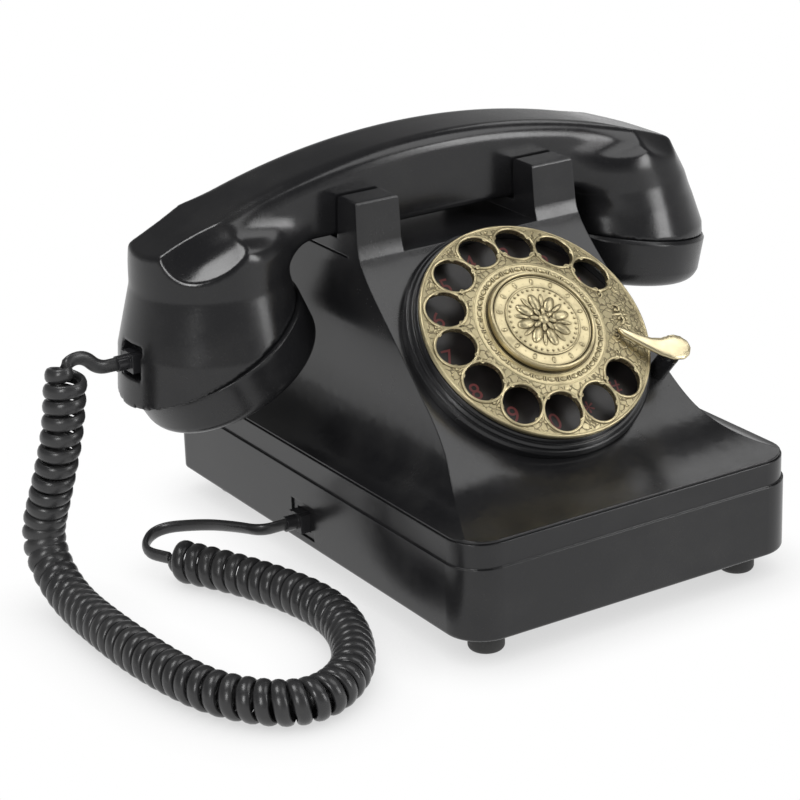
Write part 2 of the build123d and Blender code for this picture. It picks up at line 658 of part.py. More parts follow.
COIL_Z = COIL_R + 0.05
COIL_ROUTE = [
    (-137.5, 26.5, 79.0), (-140.0, 26.5, 60.0), (-143.5, 31.0, 40.0), (-146.0, 38.0, 20.0),
    (-146.5, 20.0, COIL_Z), (-147.5, -14.0, COIL_Z), (-146.0, -46.0, COIL_Z),
    (-140.0, -74.0, COIL_Z), (-122.0, -93.0, COIL_Z), (-100.0, -83.0, COIL_Z),
    (-86.0, -58.0, COIL_Z), (-83.0, -34.0, COIL_Z), (-91.0, -4.0, COIL_Z),
    (-105.0, 24.5, COIL_Z)]
HANDSET_LEAD = [
    (-119.0, HS_JACK_Y, HS_JACK_Z), (-125.5, HS_JACK_Y, HS_JACK_Z), (-130.5, 27.2, 84.0),
    (-136.9, 26.5, 83.5), (-137.5, 26.5, 79.0)]
BASE_LEAD = [
    (-105.0, 24.5, COIL_Z), (-110.73, 36.17, COIL_Z), (-101.0, 45.0, 10.0), (-89.0, 32.0, 13.0),
    (-84.0, 17.0, 16.0), (-81.0, JACK_Y, JACK_Z), (-72.0, JACK_Y, JACK_Z)]


# ---------------------------------------------------------------- inside the base
def inside_parts():
    floor = FOOT_H + TRAY_WALL
    keep("ballast_plate", box(-38, 38, -84, -36, floor, floor + 4))
    board = box(-46, 46, -30, 16, 18.0, 19.6)
    keep("main_board", board)
    posts = []
    for x in (-40, 40):
        for y in (-25, 11):
            posts.append(cyl(3.0, floor, 18.0, x, y))
    keep("board_posts", Compound(children=posts))
    caps = []
    for x, y, r, h in ((-30, -12, 4, 9), (-18, -12, 3, 7), (-30, 2, 2.5, 6), (28, -18, 4, 10)):
        caps.append(cyl(r, 19.6, 19.6 + h, x, y))
    keep("board_capacitors", Compound(children=caps))
    keep("line_transformer", box(4, 22, -18, 2, 19.6, 34) + box(2, 24, -12, -4, 19.6, 36))
    speaker = cyl(20, floor, floor + 3, 0, 40) + cyl(15, floor + 3, floor + 8, 0, 40)
    speaker += cyl(9, floor + 8, floor + 14, 0, 40)
    speaker -= cyl(17, floor - 1, floor + 1.5, 0, 40)
    keep("ringer_speaker", speaker)
    back = BASE_D / 2
    jack = box(LINE_X - 6.4, LINE_X + 6.4, back - 14, back - 0.5, LINE_Z - 5.4, LINE_Z + 5.4)
    jack -= box(LINE_X - 4.9, LINE_X + 4.9, back - 11.5, back, LINE_Z - 3.4, LINE_Z + 3.4)
    keep("line_jack", jack)
    switch = box(RING_X - 10, RING_X + 10, back - 9, back - TRAY_WALL - STEP_IN,
                 RING_Z - 5, RING_Z + 5)
    switch -= box(RING_X - 6, RING_X + 6, back - 7, back, RING_Z - 2, RING_Z + 2)
    keep("ringer_switch_body", switch)
    knob = box(RING_X - 5.6, RING_X - 1.6, back - 6.6, back + 0.8, RING_Z - 1.6, RING_Z + 1.6)
    keep("ringer_switch_knob", knob)
    wall = -BASE_W / 2
    keep("base_jack", socket_box(wall + 0.6, wall + 14, JACK_Y, JACK_Z, 7.0, 5.8, -1))
    keep("base_plug", plug_body(wall + 11.5, -72.0, JACK_Y, JACK_Z))


def dial_screws():
    group = []
    for a in (30, 150, 270):
        x = 32 * math.cos(math.radians(a))
        u = 32 * math.sin(math.radians(a))
        screw = disc(2.6, -29.6, -28.0, x, u) + disc(1.3, -28.0, -20.0, x, u)
        group.append(screw)
    return group


def main():
    keep("base_tray", base_tray())
    feet()
    keep("case_screws", case_screws())
    keep("housing_shell", housing_shell())
    hook_parts()
    dial_fixed()
    dial_moving()
    keep("return_spring", return_spring())
    governor()
    keep("pulse_contacts", pulse_contacts())
    finger_stop()
    screws = dial_screws()
    for screw in screws:
        NODES["dial_frame"] -= screw
    keep("dial_screws", Compound(children=screws))
    handset_body()
    keep("mouth_cap", cap(MOUTH, 0.0))
    keep("ear_cap", cap(EAR, 0.8))
    keep("microphone_capsule", capsule(MOUTH, 20.0, 6.0))
    keep("receiver_capsule", capsule(EAR, 21.0, 9.0))
    keep("handset_jack", socket_box(-110.0, -103.0, HS_JACK_Y, HS_JACK_Z, 6.0, 5.4, -1))
    keep("handset_plug", plug_body(-105.2, -119.0, HS_JACK_Y, HS_JACK_Z))
    keep("handset_lead", tube(HANDSET_LEAD, LEAD_R, "handset_lead"))
    keep("cord_coil", tube(COIL_ROUTE, COIL_R, "cord_coil"))
    keep("base_lead", tube(BASE_LEAD, LEAD_R, "base_lead"))
    inside_parts()
    for name, shape in NODES.items():
        export_step(shape, "parts/%s.step" % name)


main()
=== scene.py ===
"""Looks of the rotary desk telephone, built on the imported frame.  Metres."""
import json
import math

import bpy
import numpy as np
from mathutils import Matrix, Vector

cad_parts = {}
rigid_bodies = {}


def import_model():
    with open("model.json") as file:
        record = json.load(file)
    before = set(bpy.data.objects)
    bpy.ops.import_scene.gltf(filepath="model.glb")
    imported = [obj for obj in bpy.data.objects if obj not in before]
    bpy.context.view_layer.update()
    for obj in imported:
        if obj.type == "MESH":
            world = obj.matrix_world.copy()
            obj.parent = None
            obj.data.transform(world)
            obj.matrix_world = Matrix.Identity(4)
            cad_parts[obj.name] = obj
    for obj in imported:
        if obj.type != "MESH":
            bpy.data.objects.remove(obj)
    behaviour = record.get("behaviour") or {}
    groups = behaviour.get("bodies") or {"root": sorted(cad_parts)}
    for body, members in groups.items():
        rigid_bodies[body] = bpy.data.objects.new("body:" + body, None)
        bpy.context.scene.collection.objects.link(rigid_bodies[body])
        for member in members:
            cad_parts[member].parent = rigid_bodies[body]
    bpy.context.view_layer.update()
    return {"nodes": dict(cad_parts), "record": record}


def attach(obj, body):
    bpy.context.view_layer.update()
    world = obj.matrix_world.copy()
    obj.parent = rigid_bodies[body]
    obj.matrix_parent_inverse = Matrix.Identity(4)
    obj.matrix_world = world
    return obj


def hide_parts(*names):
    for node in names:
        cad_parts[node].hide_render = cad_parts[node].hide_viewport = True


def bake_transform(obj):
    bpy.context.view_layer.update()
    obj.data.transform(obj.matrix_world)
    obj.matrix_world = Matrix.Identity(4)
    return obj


MM = 0.001

for old in list(bpy.data.objects):
    bpy.data.objects.remove(old)
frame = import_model()
NODES = frame["nodes"]

# ------------------------------------------------------------------ sizes, mm
CRADLE_Y = 28.0
DIAL_TILT = math.radians(41.5)
DIAL_CENTRE = Vector((0.0, -31.67, 76.04))
HOLE_PCR = 31.8
HOLE_START = 26.0
HOLE_PITCH = 360 / 14
HOLES = 12
MEDAL_H = 15.1

DIAL_U = Vector((1, 0, 0))
DIAL_V = Vector((0, math.cos(DIAL_TILT), math.sin(DIAL_TILT)))
DIAL_N = Vector((0, -math.sin(DIAL_TILT), math.cos(DIAL_TILT)))


def on_dial(u, v, h):
    """Point u, v across the dial's face and h above it, in millimetres."""
    return DIAL_CENTRE + DIAL_U * u + DIAL_V * v + DIAL_N * h


def dial_matrix(u, v, h, turn=0.0, lean=0.0):
    """Places something built flat in XY on the dial; lean tips it outwards."""
    basis = Matrix((DIAL_U, DIAL_V, DIAL_N)).transposed().to_4x4()
    spin = Matrix.Rotation(turn, 4, "Z") @ Matrix.Rotation(lean, 4, "Y")
    return Matrix.Translation(on_dial(u, v, h)) @ basis @ spin


# ------------------------------------------------------------------ mesh help
def add_object(name, verts, faces, smooth=True):
    """New object from vertices given in millimetres."""
    mesh = bpy.data.meshes.new(name)
    mesh.from_pydata([tuple(c * MM for c in v) for v in verts], [], faces)
    mesh.validate()
    obj = bpy.data.objects.new(name, mesh)
    bpy.context.scene.collection.objects.link(obj)
    if smooth:
        mesh.shade_smooth()
    return obj


def crisp(obj, degrees=32.0):
    """Smooth shading, with sharp edges where the faces turn more than this."""
    obj.data.shade_smooth()
    obj.data.set_sharp_from_angle(angle=math.radians(degrees))
    modifier = obj.modifiers.new("normals", "WEIGHTED_NORMAL")
    modifier.keep_sharp = True
    return obj


class Parts:
    """Collects many small shapes, in millimetres, into one mesh."""

    def __init__(self):
        self.verts = []
        self.faces = []

    def add(self, verts, faces, matrix):
        base = len(self.verts)
        self.verts += [matrix @ Vector(v) for v in verts]
        self.faces += [tuple(base + i for i in f) for f in faces]

    def dome(self, matrix, rx, ry, rz, around=20, rings=6):
        """Upper half of an ellipsoid."""
        verts = []
        faces = []
        for j in range(rings):
            lift = math.pi / 2 * j / rings
            for i in range(around):
                a = 2 * math.pi * i / around
                verts.append((rx * math.cos(lift) * math.cos(a),
                              ry * math.cos(lift) * math.sin(a), rz * math.sin(lift)))
        verts.append((0, 0, rz))
        for j in range(rings - 1):
            for i in range(around):
                k = (i + 1) % around
                faces.append((j * around + i, j * around + k,
                              (j + 1) * around + k, (j + 1) * around + i))
        for i in range(around):
            faces.append(((rings - 1) * around + i, (rings - 1) * around + (i + 1) % around,
                          rings * around))
        self.add(verts, faces, matrix)

    def torus(self, matrix, major, minor, around=64, sides=10, start=0.0, sweep=None):
        """Ring, or an arc of one when sweep is given in radians."""
        whole = sweep is None
        steps = around if whole else around + 1
        verts = []
        faces = []
        for i in range(steps):
            a = start + (2 * math.pi if whole else sweep) * i / around
            for j in range(sides):
                b = 2 * math.pi * j / sides
                r = major + minor * math.cos(b)
                verts.append((r * math.cos(a), r * math.sin(a), minor * math.sin(b)))
        for i in range(around):
            k = (i + 1) % steps
            for j in range(sides):
                m = (j + 1) % sides
                faces.append((i * sides + j, k * sides + j, k * sides + m, i * sides + m))
        self.add(verts, faces, matrix)

    def tube(self, matrix, points, radii, sides=8):
        """Round bar through flat points, with a radius at each."""
        verts = []
        faces = []
        count = len(points)
        for i, p in enumerate(points):
            before = Vector(points[max(i - 1, 0)])
            after = Vector(points[min(i + 1, count - 1)])
            along = (after - before).normalized()
            side = along.cross(Vector((0, 0, 1))).normalized()
            for j in range(sides):
                b = 2 * math.pi * j / sides
                v = Vector(p) + side * radii[i] * math.cos(b)
                verts.append(v + Vector((0, 0, radii[i] * 0.8 * math.sin(b))))
        for i in range(count - 1):
            for j in range(sides):
                m = (j + 1) % sides
                faces.append((i * sides + j, (i + 1) * sides + j,
                              (i + 1) * sides + m, i * sides + m))
        self.add(verts, faces, matrix)

    def scroll(self, matrix, size, hand, thick=0.3):
        """Small spiral with a tail, as on engraved scrollwork."""
        points = []
        radii = []
        for i in range(26):
            t = i / 25
            a = hand * (0.4 + 4.6 * t)
            r = size * (1 - 0.86 * t)
            points.append((r * math.cos(a) - size * 0.4, r * math.sin(a), 0.0))
            radii.append(thick * (0.55 + 0.6 * math.sin(math.pi * min(1, 0.15 + t))))
        self.tube(matrix, points, radii)
        self.dome(matrix @ Matrix.Translation(points[-1]), thick * 1.7, thick * 1.7, thick * 1.5,
                  12, 4)

    def finish(self, name):
        return add_object(name, self.verts, self.faces)


def surface_net(field, corner, far, step):
    """Closed mesh where field crosses zero (negative inside), its faces turned outwards."""
    axes = [np.arange(corner[k], far[k] + step, step) for k in range(3)]
    grid = np.meshgrid(*axes, indexing="ij")
    value = field(*grid)
    inside = value < 0
    shape = tuple(n - 1 for n in value.shape)
    total = np.zeros(shape + (3,))
    hits = np.zeros(shape)

    def cut(offset):
        return tuple(slice(o, o + s) for o, s in zip(offset, shape))

    for axis in range(3):
        others = [k for k in range(3) if k != axis]
        for a in (0, 1):
            for b in (0, 1):
                start = [0, 0, 0]
                start[others[0]] = a
                start[others[1]] = b
                end = list(start)
                end[axis] = 1
                va = value[cut(start)]
                vb = value[cut(end)]
                cross = (va < 0) != (vb < 0)
                t = np.where(cross, va / np.where(cross, va - vb, 1.0), 0.0)
                for k in range(3):
                    place = t if k == axis else float(start[k])
                    total[..., k] += np.where(cross, place, 0.0)
                hits += cross
    active = hits > 0
    index = np.full(shape, -1)
    index[active] = np.arange(active.sum())
    cell = np.argwhere(active)
    verts = (total[active] / hits[active][:, None] + cell) * step + np.array(corner)
    quads = []
    for axis in range(3):
        b, c = [(1, 2), (2, 0), (0, 1)][axis]
        first = [slice(None)] * 3
        first[b] = first[c] = slice(1, -1)
        second = list(first)
        first[axis] = slice(0, -1)
        second[axis] = slice(1, None)
        from_in = inside[tuple(first)]
        change = from_in != inside[tuple(second)]
        where = np.argwhere(change)
        where[:, b] += 1
        where[:, c] += 1
        ring = []
        for db, dc in ((-1, -1), (0, -1), (0, 0), (-1, 0)):
            at = where.copy()
            at[:, b] += db
            at[:, c] += dc
            ring.append(index[at[:, 0], at[:, 1], at[:, 2]])
        ring = np.stack(ring, 1)
        outwards = from_in[change]
        ring[~outwards] = ring[~outwards][:, ::-1]
        quads.append(ring)
    return verts, np.concatenate(quads)


def net_object(name, field, corner, far, step):
    """Smooth object on the field's surface, its points pulled onto it twice."""
    verts, quads = surface_net(field, corner, far, step)
    for _ in range(2):
        gap = 0.05
        value = field(*verts.T)
        slope = np.stack([
            (field(*(verts + np.eye(3)[k] * gap).T) - field(*(verts - np.eye(3)[k] * gap).T))
            / (2 * gap) for k in range(3)], 1)
        size = np.maximum((slope ** 2).sum(1), 0.05)
        verts = verts - np.clip(value / size, -0.3, 0.3)[:, None] * slope
    mesh = bpy.data.meshes.new(name)
    mesh.from_pydata((verts * MM).tolist(), [], quads.tolist())
    mesh.shade_smooth()
    obj = bpy.data.objects.new(name, mesh)
    bpy.context.scene.collection.objects.link(obj)
    return obj


# ------------------------------------------------------------------ materials
def new_material(name):
    """New node material, with the sockets' owners that the helpers below take."""
    material = bpy.data.materials.new(name)
    material.use_nodes = True
    nodes = material.node_tree.nodes
    links = material.node_tree.links
    return material, nodes, links, nodes["Principled BSDF"]


def add_noise(nodes, links, scale, detail=4.0, rough=0.55, coords=None):
    """Noise in the piece's own coordinates."""
    noise = nodes.new("ShaderNodeTexNoise")
    noise.inputs["Scale"].default_value = scale
    noise.inputs["Detail"].default_value = detail
    noise.inputs["Roughness"].default_value = rough
    if coords is None:
        coords = nodes.new("ShaderNodeTexCoord").outputs["Object"]
    links.new(coords, noise.inputs["Vector"])
    return noise.outputs["Fac"]


def add_ramp(nodes, links, source, low_at, low_value, high_at, high_value):
    """Straight ramp from one value to another, level beyond its ends."""
    ramp = nodes.new("ShaderNodeMapRange")
    ramp.inputs["From Min"].default_value = low_at
    ramp.inputs["From Max"].default_value = high_at
    ramp.inputs["To Min"].default_value = low_value
    ramp.inputs["To Max"].default_value = high_value
    links.new(source, ramp.inputs["Value"])
    return ramp.outputs["Result"]


def add_math(nodes, links, kind, a, b=None):
    """One sum on sockets or plain numbers."""
    step = nodes.new("ShaderNodeMath")
    step.operation = kind
    for place, value in ((0, a), (1, b)):
        if value is None:
            continue
        if isinstance(value, (int, float)):
            step.inputs[place].default_value = value
        else:
            links.new(value, step.inputs[place])
    return step.outputs[0]


def add_mix(nodes, links, factor, a, b):
    """Colour a where factor is 0 and b where it is 1."""
    mix = nodes.new("ShaderNodeMix")
    mix.data_type = "RGBA"
    links.new(factor, mix.inputs["Factor"])
    for place, value in (("A", a), ("B", b)):
        socket = [s for s in mix.inputs if s.name == place and s.type == "RGBA"][0]
        if isinstance(value, tuple):
            socket.default_value = (*value, 1)
        else:
            links.new(value, socket)
    return [s for s in mix.outputs if s.type == "RGBA"][0]


def plastic(name, colour, rough, edge=0.5, dust=0.5, grain=0.6):
    """Moulded plastic: soft gloss, faint dust and rubbing, tiny ripples, round edges."""
    material, nodes, links, shader = new_material(name)
    cloud = add_noise(nodes, links, 38.0, 5.0, 0.6)
    fine = add_noise(nodes, links, 900.0, 3.0, 0.6)
    speck = add_noise(nodes, links, 2600.0, 1.0, 0.5)
    dusty = add_ramp(nodes, links, speck, 0.68, 0.0, 0.8, 0.12 * dust)
    patch = add_ramp(nodes, links, cloud, 0.45, 0.0, 0.75, 0.05 * dust)
    grime = add_math(nodes, links, "ADD", dusty, patch)
    tint = add_mix(nodes, links, grime, colour, (0.32, 0.31, 0.29))
    links.new(tint, shader.inputs["Base Color"])
    worn = add_ramp(nodes, links, cloud, 0.3, rough - 0.05, 0.75, rough + 0.07)
    worn = add_math(nodes, links, "ADD", worn, add_ramp(nodes, links, fine, 0.4, 0.0, 0.7, 0.04))
    links.new(worn, shader.inputs["Roughness"])
    shader.inputs["IOR"].default_value = 1.5
    bevel = nodes.new("ShaderNodeBevel")
    bevel.samples = 6
    bevel.inputs["Radius"].default_value = edge * MM
    bump = nodes.new("ShaderNodeBump")
    bump.inputs["Strength"].default_value = 0.10 * grain
    bump.inputs["Distance"].default_value = 0.0002
    ripple = add_math(nodes, links, "ADD", fine, add_math(nodes, links, "MULTIPLY", cloud, 2.0))
    links.new(ripple, bump.inputs["Height"])
    links.new(bevel.outputs["Normal"], bump.inputs["Normal"])
    links.new(bump.outputs["Normal"], shader.inputs["Normal"])
    return material


def metal(name, colour, rough, brushed=0.3):
    """Plain machined or plated metal with fine brushing."""
    material, nodes, links, shader = new_material(name)
    shader.inputs["Metallic"].default_value = 1.0
    cloud = add_noise(nodes, links, 160.0, 4.0)
    tint = add_mix(nodes, links, add_ramp(nodes, links, cloud, 0.35, 0.0, 0.75, 0.45),
                   colour, tuple(c * 0.6 for c in colour))
    links.new(tint, shader.inputs["Base Color"])
    links.new(add_ramp(nodes, links, cloud, 0.3, rough, 0.8, rough + 0.15),
              shader.inputs["Roughness"])
    bump = nodes.new("ShaderNodeBump")
    bump.inputs["Strength"].default_value = brushed
    bump.inputs["Distance"].default_value = 0.00005
    links.new(add_noise(nodes, links, 3000.0, 2.0), bump.inputs["Height"])
    links.new(bump.outputs["Normal"], shader.inputs["Normal"])
    return material


def dial_coords(nodes, links):
    """Sockets for the radius and bearing of a point round the dial, in millimetres."""
    coords = nodes.new("ShaderNodeTexCoord").outputs["Object"]
    shift = nodes.new("ShaderNodeVectorMath")
    shift.operation = "SUBTRACT"
    shift.inputs[1].default_value = tuple(DIAL_CENTRE * MM)
    links.new(coords, shift.inputs[0])
    axes = []
    for axis in (DIAL_U, DIAL_V):
        dot = nodes.new("ShaderNodeVectorMath")
        dot.operation = "DOT_PRODUCT"
        dot.inputs[1].default_value = tuple(axis * 1000)
        links.new(shift.outputs[0], dot.inputs[0])
        axes.append(dot.outputs["Value"])
    square = [add_math(nodes, links, "MULTIPLY", a, a) for a in axes]
    radius = add_math(nodes, links, "SQRT", add_math(nodes, links, "ADD", *square))
    bearing = add_math(nodes, links, "ARCTAN2", axes[1], axes[0])
    return coords, axes, radius, bearing


def antique_brass(name, engraved):
    """Brass with dark patina in the hollows; engraved adds fine filigree."""
    material, nodes, links, shader = new_material(name)
    shader.inputs["Metallic"].default_value = 1.0
    coords, axes, radius, bearing = dial_coords(nodes, links)
    cloud = add_noise(nodes, links, 110.0, 6.0, 0.65)
    grit = add_noise(nodes, links, 1400.0, 3.0)
    hollow = nodes.new("ShaderNodeAmbientOcclusion")
    hollow.samples = 6
    hollow.inputs["Distance"].default_value = 0.0016
    shade = add_ramp(nodes, links, hollow.outputs["AO"], 0.35, 1.0, 0.95, 0.0)
    dark = add_math(nodes, links, "MAXIMUM", shade,
                    add_ramp(nodes, links, cloud, 0.5, 0.0, 0.78, 0.55))
    height = grit
    if engraved:
        wave = nodes.new("ShaderNodeTexVoronoi")
        wave.feature = "DISTANCE_TO_EDGE"
        wave.inputs["Scale"].default_value = 420.0
        warp = nodes.new("ShaderNodeTexNoise")
        warp.inputs["Scale"].default_value = 260.0
        links.new(coords, warp.inputs["Vector"])
        push = nodes.new("ShaderNodeVectorMath")
        push.operation = "MULTIPLY_ADD"
        push.inputs[1].default_value = (0.004, 0.004, 0.004)
        links.new(warp.outputs["Color"], push.inputs[0])
        links.new(coords, push.inputs[2])
        links.new(push.outputs[0], wave.inputs["Vector"])
        line = add_ramp(nodes, links, wave.outputs["Distance"], 0.02, 1.0, 0.12, 0.0)
        band = add_math(nodes, links, "MULTIPLY",
                        add_ramp(nodes, links, radius, 23.2, 0.0, 23.8, 1.0),
                        add_ramp(nodes, links, radius, 38.6, 1.0, 39.4, 0.0))
        line = add_math(nodes, links, "MULTIPLY", line, band)
        dark = add_math(nodes, links, "MAXIMUM", dark,
                        add_math(nodes, links, "MULTIPLY", line, 0.75))
        height = add_math(nodes, links, "SUBTRACT", add_math(nodes, links, "MULTIPLY", grit, 0.15),
                          line)
    tint = add_mix(nodes, links, dark, (0.60, 0.52, 0.32), (0.07, 0.055, 0.035))
    links.new(tint, shader.inputs["Base Color"])
    links.new(add_ramp(nodes, links, dark, 0.0, 0.36, 1.0, 0.62), shader.inputs["Roughness"])
    bevel = nodes.new("ShaderNodeBevel")
    bevel.samples = 4
    bevel.inputs["Radius"].default_value = 0.35 * MM
    bump = nodes.new("ShaderNodeBump")
    bump.inputs["Strength"].default_value = 0.6
    bump.inputs["Distance"].default_value = 0.00018
    links.new(height, bump.inputs["Height"])
    links.new(bevel.outputs["Normal"], bump.inputs["Normal"])
    links.new(bump.outputs["Normal"], shader.inputs["Normal"])
    return material


BLACK = plastic("black_abs", (0.010, 0.010, 0.011), 0.20)
CAP_BLACK = plastic("cap_black", (0.010, 0.010, 0.011), 0.22, edge=0.8)
CORD = plastic("cord_pvc", (0.028, 0.028, 0.029), 0.28, edge=0.2, dust=0.8, grain=0.4)
PLUG = plastic("plug_plastic", (0.018, 0.018, 0.02), 0.18, edge=0.3)
RUBBER = plastic("foot_rubber", (0.016, 0.016, 0.016), 0.62, edge=0.6, dust=1.6, grain=2.0)
PLATE = plastic("number_card", (0.012, 0.010, 0.010), 0.42, edge=0.2)
INK = plastic("number_ink", (0.20, 0.045, 0.045), 0.5, edge=0.05)
CREAM = plastic("inner_plastic", (0.52, 0.49, 0.40), 0.45, edge=0.3)
BOARD = plastic("board_green", (0.03, 0.15, 0.06), 0.35, edge=0.1)
BRASS = antique_brass("antique_brass", True)
BRASS_PLAIN = antique_brass("antique_brass_relief", False)
PALE = metal("pale_brass", (0.78, 0.68, 0.44), 0.26, 0.15)
STEEL = metal("steel", (0.55, 0.55, 0.54), 0.3)
GEAR = metal("brass_gear", (0.66, 0.53, 0.28), 0.28)

SLOT_MATERIAL = {
    "black_abs": BLACK, "antique_brass": BRASS, "pale_brass": PALE, "number_card": PLATE,
    "foot_rubber": RUBBER, "cord_pvc": CORD, "plug_plastic": PLUG, "steel": STEEL,
    "brass_gear": GEAR, "inner_plastic": CREAM, "board_green": BOARD,
}
for part in frame["record"]["subparts"]:
    obj = NODES[part["node"]]
    obj.data.materials.clear()
    obj.data.materials.append(SLOT_MATERIAL[part["material_slot"]])
    crisp(obj)
for name in ("mouth_cap", "ear_cap"):
    NODES[name].data.materials[0] = CAP_BLACK


def dress(obj, material, body):
    """Gives a new piece its material, and the body it moves with."""
    obj.data.materials.clear()
    obj.data.materials.append(material)
    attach(obj, body)
    return obj


# ------------------------------------------------------------------ handset body
ARCH_R = 257.7
ARCH_Z = 137.2 - ARCH_R     # centre of the arch's circle
HANDLE_HALF = 14.8          # half the handle's width
HANDLE_UNDER_Z = 110.3
NECK_X = 45.0               # the ends' own shapes act beyond this
SCOOP = (41.0, 19.5, 17.0)  # half lengths along, across and down
SCOOP_SIDE = 29.0
SCOOP_LEAN = (0.95, 0.31)
MOUTH_END = {"x": -83.5, "z": 80.0, "tilt": 28.0, "scoop": 109.0, "rise": 119.5,
             "rings": ((58, -83.6, 32.6), (80, -83.5, 31.2), (100, -83.4, 26.5),
                       (118, -83.9, 24.6), (132, -83, 22.0))}
EAR_END = {"x": 81.5, "z": 87.5, "tilt": -10.0, "scoop": 102.0, "rise": 126.0,
           "rings": ((75, 81.6, 31.0), (87.5, 81.5, 30.6), (98, 81, 27.6), (106, 79.8, 25.6),
                     (116, 76.2, 24.0), (132, 70, 23.0))}


def soft_max(a, b, k):
    """Larger of two fields, rounded over k where they meet."""
    h = np.clip(0.5 - 0.5 * (b - a) / k, 0, 1)
    return b * (1 - h) + a * h + k * h * (1 - h)


def soft_min(a, b, k):
    return -soft_max(-a, -b, k)


def end_shape(end, z):
    """Centre and radius of a round end at each height."""
    heights = [r[0] for r in end["rings"]]
    centre = np.interp(z, heights, [r[1] for r in end["rings"]])
    radius = np.interp(z, heights, [r[2] for r in end["rings"]])
    return centre, radius


def handset_field(x, y, z):
    """Negative inside the handset's body, which has an arched handle and scooped ends."""
    side = np.abs(y - CRADLE_Y)
    arch = np.hypot(x, z - ARCH_Z) - ARCH_R
    body = soft_max(arch, side - HANDLE_HALF, 6.5)
    body = soft_max(body, HANDLE_UNDER_Z - z, 2.5)
    ends = []
    for end, sign in ((MOUTH_END, -1), (EAR_END, 1)):
        centre, radius = end_shape(end, z)
        outer = sign * (x - centre)
        rim = np.hypot(np.maximum(outer, 0), side) - radius
        body = soft_max(body, rim, 2.5)
        ends.append((end, sign, np.hypot(x - centre, side) - radius, outer, rim))
    for end, sign, wall, outer, rim in ends:
        droop = 4.5 + 0.45 * np.maximum(5.0 - outer, 0)
        shoulder = soft_max(wall, arch + droop, 5.0)
        out = sign * x - end["scoop"]
        rise = z - end["rise"]
        along = out * SCOOP_LEAN[0] - rise * SCOOP_LEAN[1]
        over = out * SCOOP_LEAN[1] + rise * SCOOP_LEAN[0]
        reach = np.sqrt((along / SCOOP[0]) ** 2 + ((side - SCOOP_SIDE) / SCOOP[1]) ** 2
                        + (over / SCOOP[2]) ** 2)
        bowl = (reach - 1) * 17
        shoulder = soft_max(shoulder, -bowl, 1.2)
        joined = np.maximum(soft_min(body, shoulder, 11.0), arch)
        near = sign * x > NECK_X
        joined = np.where(near, soft_max(joined, rim, 1.5), joined)
        body = soft_max(joined, -bowl, 0.8)
        tilt = math.radians(end["tilt"])
        below = (x - end["x"]) * math.sin(tilt) - (z - end["z"]) * math.cos(tilt)
        body = np.where(near, soft_max(body, below, 0.6), body)
    socket = np.maximum(np.abs(y - 27.5) - 6.1, np.abs(z - 78.5) - 5.5)
    socket = np.maximum(socket, x + 102.9)
    return np.maximum(body, -socket)


handset = net_object("handset_shell", handset_field, (-116, -6, 60), (116, 62, 141), 0.9)
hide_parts("handset_body")
dress(handset, BLACK, "handset")

# ------------------------------------------------------------------ curly cord
COIL_Z = 7.25
ROUTE = [
    (-115.5, 27.5, 78.5), (-119.0, 27.5, 78.5), (-125.5, 27.5, 78.5), (-130.5, 27.2, 84.0),
    (-136.9, 26.5, 83.5), (-137.5, 26.5, 79.0), (-140.0, 26.5, 60.0), (-143.5, 31.0, 40.0),
    (-146.0, 38.0, 20.0), (-146.5, 20.0, COIL_Z), (-147.5, -14.0, COIL_Z),
    (-146.0, -46.0, COIL_Z), (-140.0, -74.0, COIL_Z), (-122.0, -93.0, COIL_Z),
    (-100.0, -83.0, COIL_Z), (-86.0, -58.0, COIL_Z), (-83.0, -34.0, COIL_Z),
    (-91.0, -4.0, COIL_Z), (-105.0, 24.5, COIL_Z), (-110.73, 36.17, COIL_Z),
    (-101.0, 45.0, 10.0), (-89.0, 32.0, 13.0), (-84.0, 17.0, 16.0), (-81.0, 6.2, 17.5),
    (-72.0, 6.2, 17.5), (-69.5, 6.2, 17.5)]
COIL_FROM, COIL_TO = 4, 18  # points of the route between which it is coiled
TURN_PITCH = 5.0
COIL_RADIUS = 5.75          # to the middle of the cord
CORD_WIDE = 4.7
CORD_THICK = 2.6
LOWEST = 1.75               # middle of a cord that lies on the table


def route_points():
    """The route's smooth line, read back from a curve, as an array in millimetres."""
    curve = bpy.data.curves.new("cord_route", "CURVE")
    curve.dimensions = "3D"
    curve.resolution_u = 24
    spline = curve.splines.new("NURBS")
    spline.points.add(len(ROUTE) - 1)
    for place, p in zip(spline.points, ROUTE):
        place.co = (p[0] * MM, p[1] * MM, p[2] * MM, 1)
    spline.order_u = 3
    spline.use_endpoint_u = True
    holder = bpy.data.objects.new("cord_route", curve)
    bpy.context.scene.collection.objects.link(holder)
    bpy.context.view_layer.update()
    mesh = bpy.data.meshes.new_from_object(holder)
    line = np.array([tuple(v.co) for v in mesh.vertices]) / MM
    bpy.data.objects.remove(holder)
    return line


def resample(line, step):
    """Distances along a line at an even step, and its points there."""
    length = np.concatenate([[0], np.cumsum(np.linalg.norm(np.diff(line, axis=0), axis=1))])
    at = np.linspace(0, length[-1], int(length[-1] / step) + 1)
    return at, np.stack([np.interp(at, length, line[:, k]) for k in range(3)], 1)


